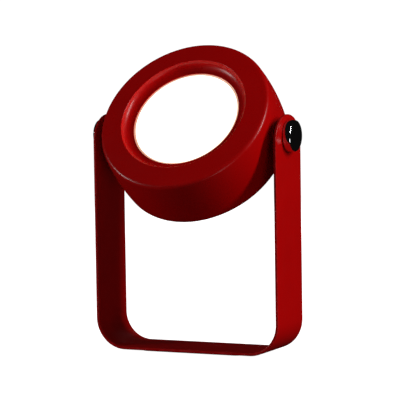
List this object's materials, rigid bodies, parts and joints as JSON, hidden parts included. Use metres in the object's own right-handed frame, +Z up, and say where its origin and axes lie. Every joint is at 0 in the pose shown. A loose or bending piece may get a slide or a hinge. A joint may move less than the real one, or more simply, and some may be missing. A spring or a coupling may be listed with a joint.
{
  "type": "darkroom safelight",
  "caption": "Small tilting safelight: a round drum head with a recessed opal lens, hung between the arms of a bent strap stand by domed knobs.",
  "frame": {"origin": "centre of the resting face, under the anti-slip pad of the stand", "axes": "+Z up, X from the left arm to the right arm along the tilt axis, -Y the way the lens looks"},
  "size_m": [0.1216, 0.0855, 0.1675],
  "materials": {
    "red_bracket": "satin powder coat",
    "red_casing": "satin moulded, fine texture",
    "chrome": "polished",
    "opal": "opal, lit from behind",
    "rubber": "matt",
    "steel": "zinc plated",
    "aluminium": "milled",
    "white_plastic": "white, reflective",
    "black_plastic": "matt",
    "button_grey": "matt, soft touch",
    "board_white": "white solder mask",
    "board_green": "green solder mask",
    "led_phosphor": "yellow phosphor",
    "cell_foil": "laminated foil",
    "clear_pipe": "clear",
    "wire_red": "insulated",
    "wire_black": "insulated"
  },
  "bodies": {
    "stand": {"bracket": "red_bracket", "base_pad": "rubber", "pivot_bush_left": "black_plastic", "pivot_bush_right": "black_plastic"},
    "head": {"front_casing": "red_casing", "rear_cover": "red_casing", "cover_seal": "rubber", "cover_screw_1": "steel", "cover_screw_2": "steel", "cover_screw_3": "steel", "cover_screw_4": "steel", "diffuser": "opal", "diffuser_gasket": "rubber", "retaining_ring": "black_plastic", "reflector": "white_plastic", "led_board": "board_white", "led_1": "led_phosphor", "led_2": "led_phosphor", "led_3": "led_phosphor", "led_4": "led_phosphor", "led_5": "led_phosphor", "led_6": "led_phosphor", "led_7": "led_phosphor", "heat_sink": "aluminium", "light_engine_screw_1": "steel", "light_engine_screw_2": "steel", "light_engine_screw_3": "steel", "battery_cell": "cell_foil", "battery_board": "board_green", "battery_tray": "black_plastic", "battery_lead_positive": "wire_red", "battery_lead_negative": "wire_black", "led_lead_positive": "wire_red", "led_lead_negative": "wire_black", "driver_board": "board_green", "usb_socket": "steel", "switch_body": "black_plastic", "charge_light_pipe": "clear_pipe", "pivot_cap_left": "chrome", "pivot_cap_right": "chrome", "pivot_stud_left": "steel", "pivot_stud_right": "steel", "pivot_nut_left": "steel", "pivot_nut_right": "steel", "friction_washer_left": "black_plastic", "friction_washer_right": "black_plastic", "thrust_washer_left": "steel", "thrust_washer_right": "steel"},
    "button": {"power_button": "button_grey", "switch_plunger": "black_plastic"}
  },
  "joints": [
    {"name": "head_tilt", "type": "hinge", "parent": "stand", "child": "head", "pos_m": [0, 0, 0.1186], "axis": [-1, 0, 0], "continuous": true},
    {"name": "button_press", "type": "slide", "parent": "head", "child": "button", "axis": [0, -0.7782, 0.628], "range_m": [0, 0.0012], "stiffness_N_per_m": 2000}
  ]
}
